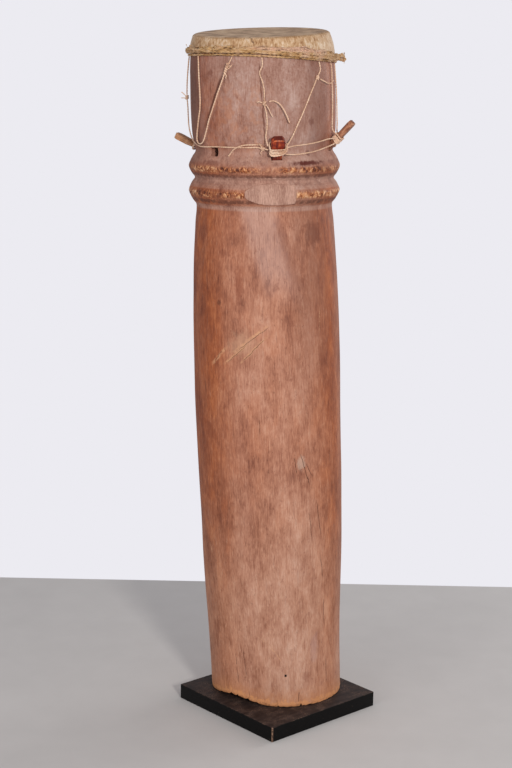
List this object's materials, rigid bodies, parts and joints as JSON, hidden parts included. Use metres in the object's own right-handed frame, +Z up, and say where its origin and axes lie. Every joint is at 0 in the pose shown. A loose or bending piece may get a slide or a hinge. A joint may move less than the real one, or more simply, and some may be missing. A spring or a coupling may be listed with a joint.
{
  "type": "ceremonial peg drum",
  "caption": "Tall single-headed log drum with carved rings, a laced hide head tightened by wooden tuning pegs, standing on a square black display plinth.",
  "frame": {"origin": "centre of the plinth's underside, which rests on the floor", "axes": "+Z up; X and Y along the plinth's edges; the drum's front faces the plinth's -X -Y corner"},
  "size_m": [0.32, 0.3476, 1.3495],
  "materials": {
    "plinth_black": "satin black paint over wood",
    "log_wood": "dry carved hardwood with dusty patina",
    "hide": "raw dried skin, faintly translucent at its edge",
    "hide_roll": "rolled skin edge with fibre in it",
    "cord": "twisted plant fibre",
    "peg_red": "handled red-brown wood",
    "peg_brown": "dry brown wood"
  },
  "bodies": {
    "root": {"plinth": "plinth_black", "trunk": "log_wood", "hide_head": "hide", "hoop": "hide_roll", "hoop_cord": "cord", "peg_front": "peg_red", "peg_right": "peg_brown", "peg_back_right": "peg_brown", "peg_back": "peg_brown", "peg_left": "peg_brown", "wrap_front": "cord", "wrap_right": "cord", "wrap_back_right": "cord", "wrap_back": "cord", "wrap_left": "cord", "lacing_front_left": "cord", "lacing_front_right": "cord", "lacing_right_front": "cord", "lacing_slack_loop": "cord", "lacing_left_girth": "cord", "girth_right_upper": "cord", "girth_right_lower": "cord", "lacing_right_back": "cord", "lacing_back_right_near": "cord", "lacing_back_right_far": "cord", "lacing_back_near": "cord", "lacing_back_far": "cord", "lacing_left_back": "cord", "girth_back_right": "cord", "girth_back": "cord", "girth_back_left": "cord", "tail_front": "cord", "tail_right": "cord", "girth_end": "cord"}
  },
  "joints": []
}
